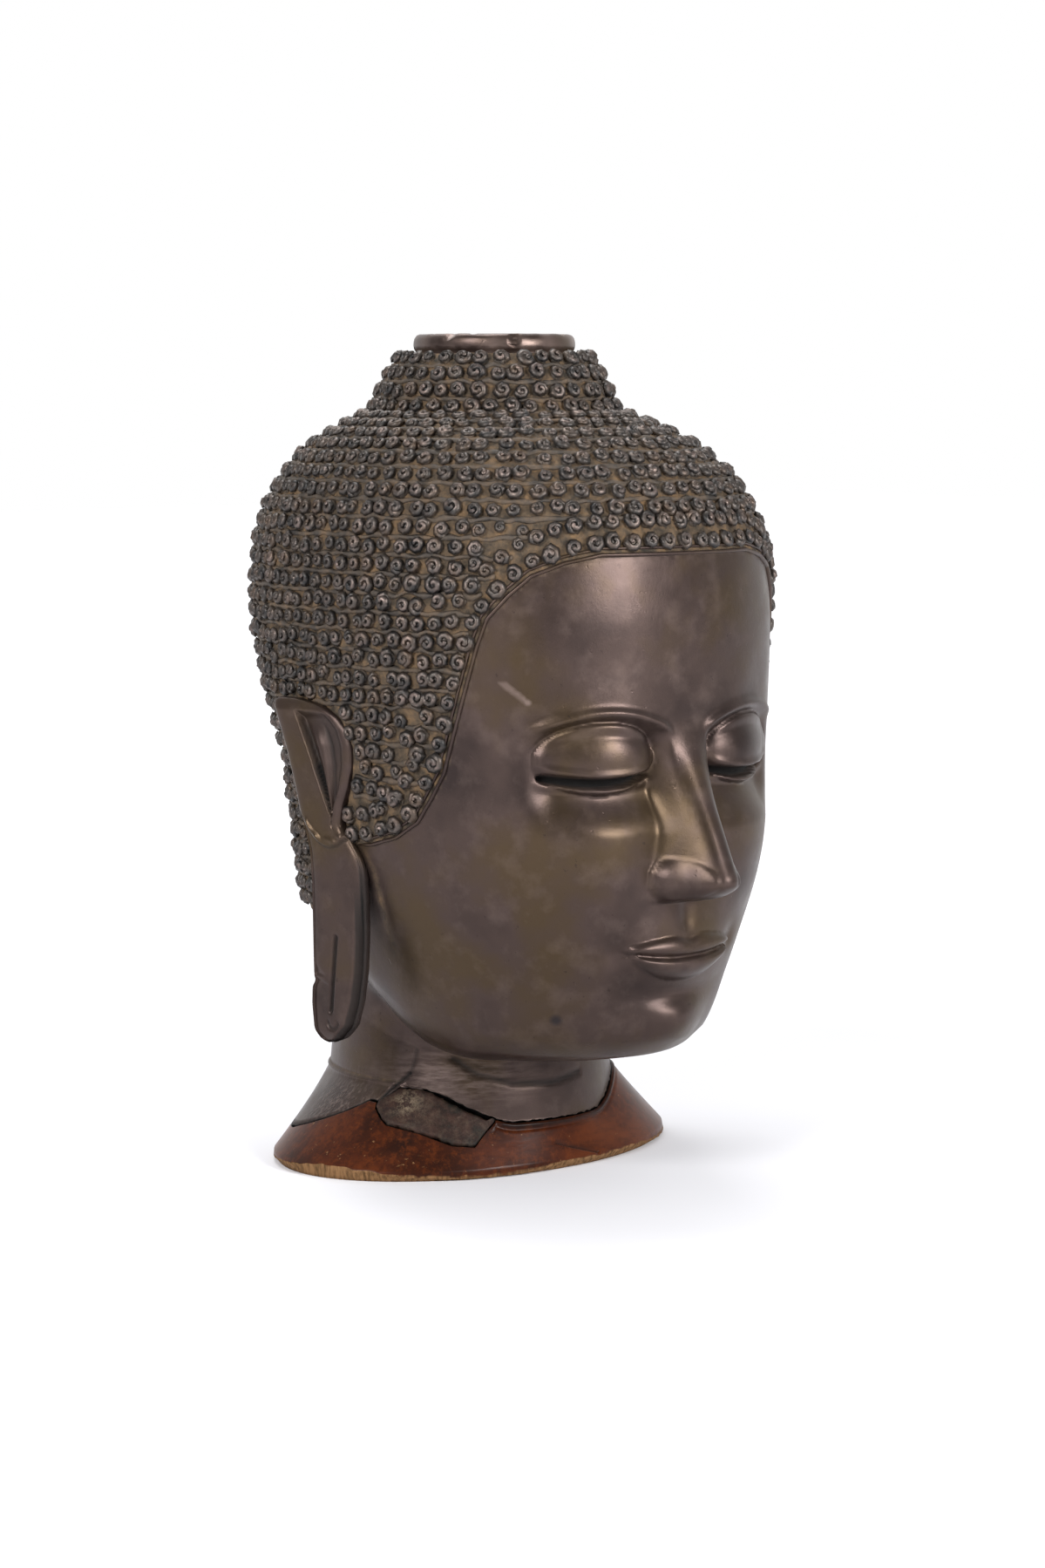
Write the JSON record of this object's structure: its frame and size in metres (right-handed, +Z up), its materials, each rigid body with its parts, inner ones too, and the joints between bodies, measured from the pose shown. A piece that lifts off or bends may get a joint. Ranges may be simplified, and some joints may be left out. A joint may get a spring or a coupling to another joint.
{
  "type": "bronze head sculpture",
  "caption": "Cast bronze head with tight snail-shell curls, long ear lobes and a ring collar on the crown, broken at the neck and set on a flared oval wooden base.",
  "frame": {"origin": "on the floor below the middle of the whole head", "axes": "+Z up, the face looks along -Y, the head's own right ear is at -X"},
  "size_m": [0.1888, 0.2208, 0.31],
  "materials": {
    "bronze": "brown patina, softly polished",
    "shard": "dark green patina, matt",
    "wood": "red-brown varnish"
  },
  "bodies": {
    "root": {"bronze_head": "bronze", "neck_shard": "shard", "wood_base": "wood"}
  },
  "joints": []
}
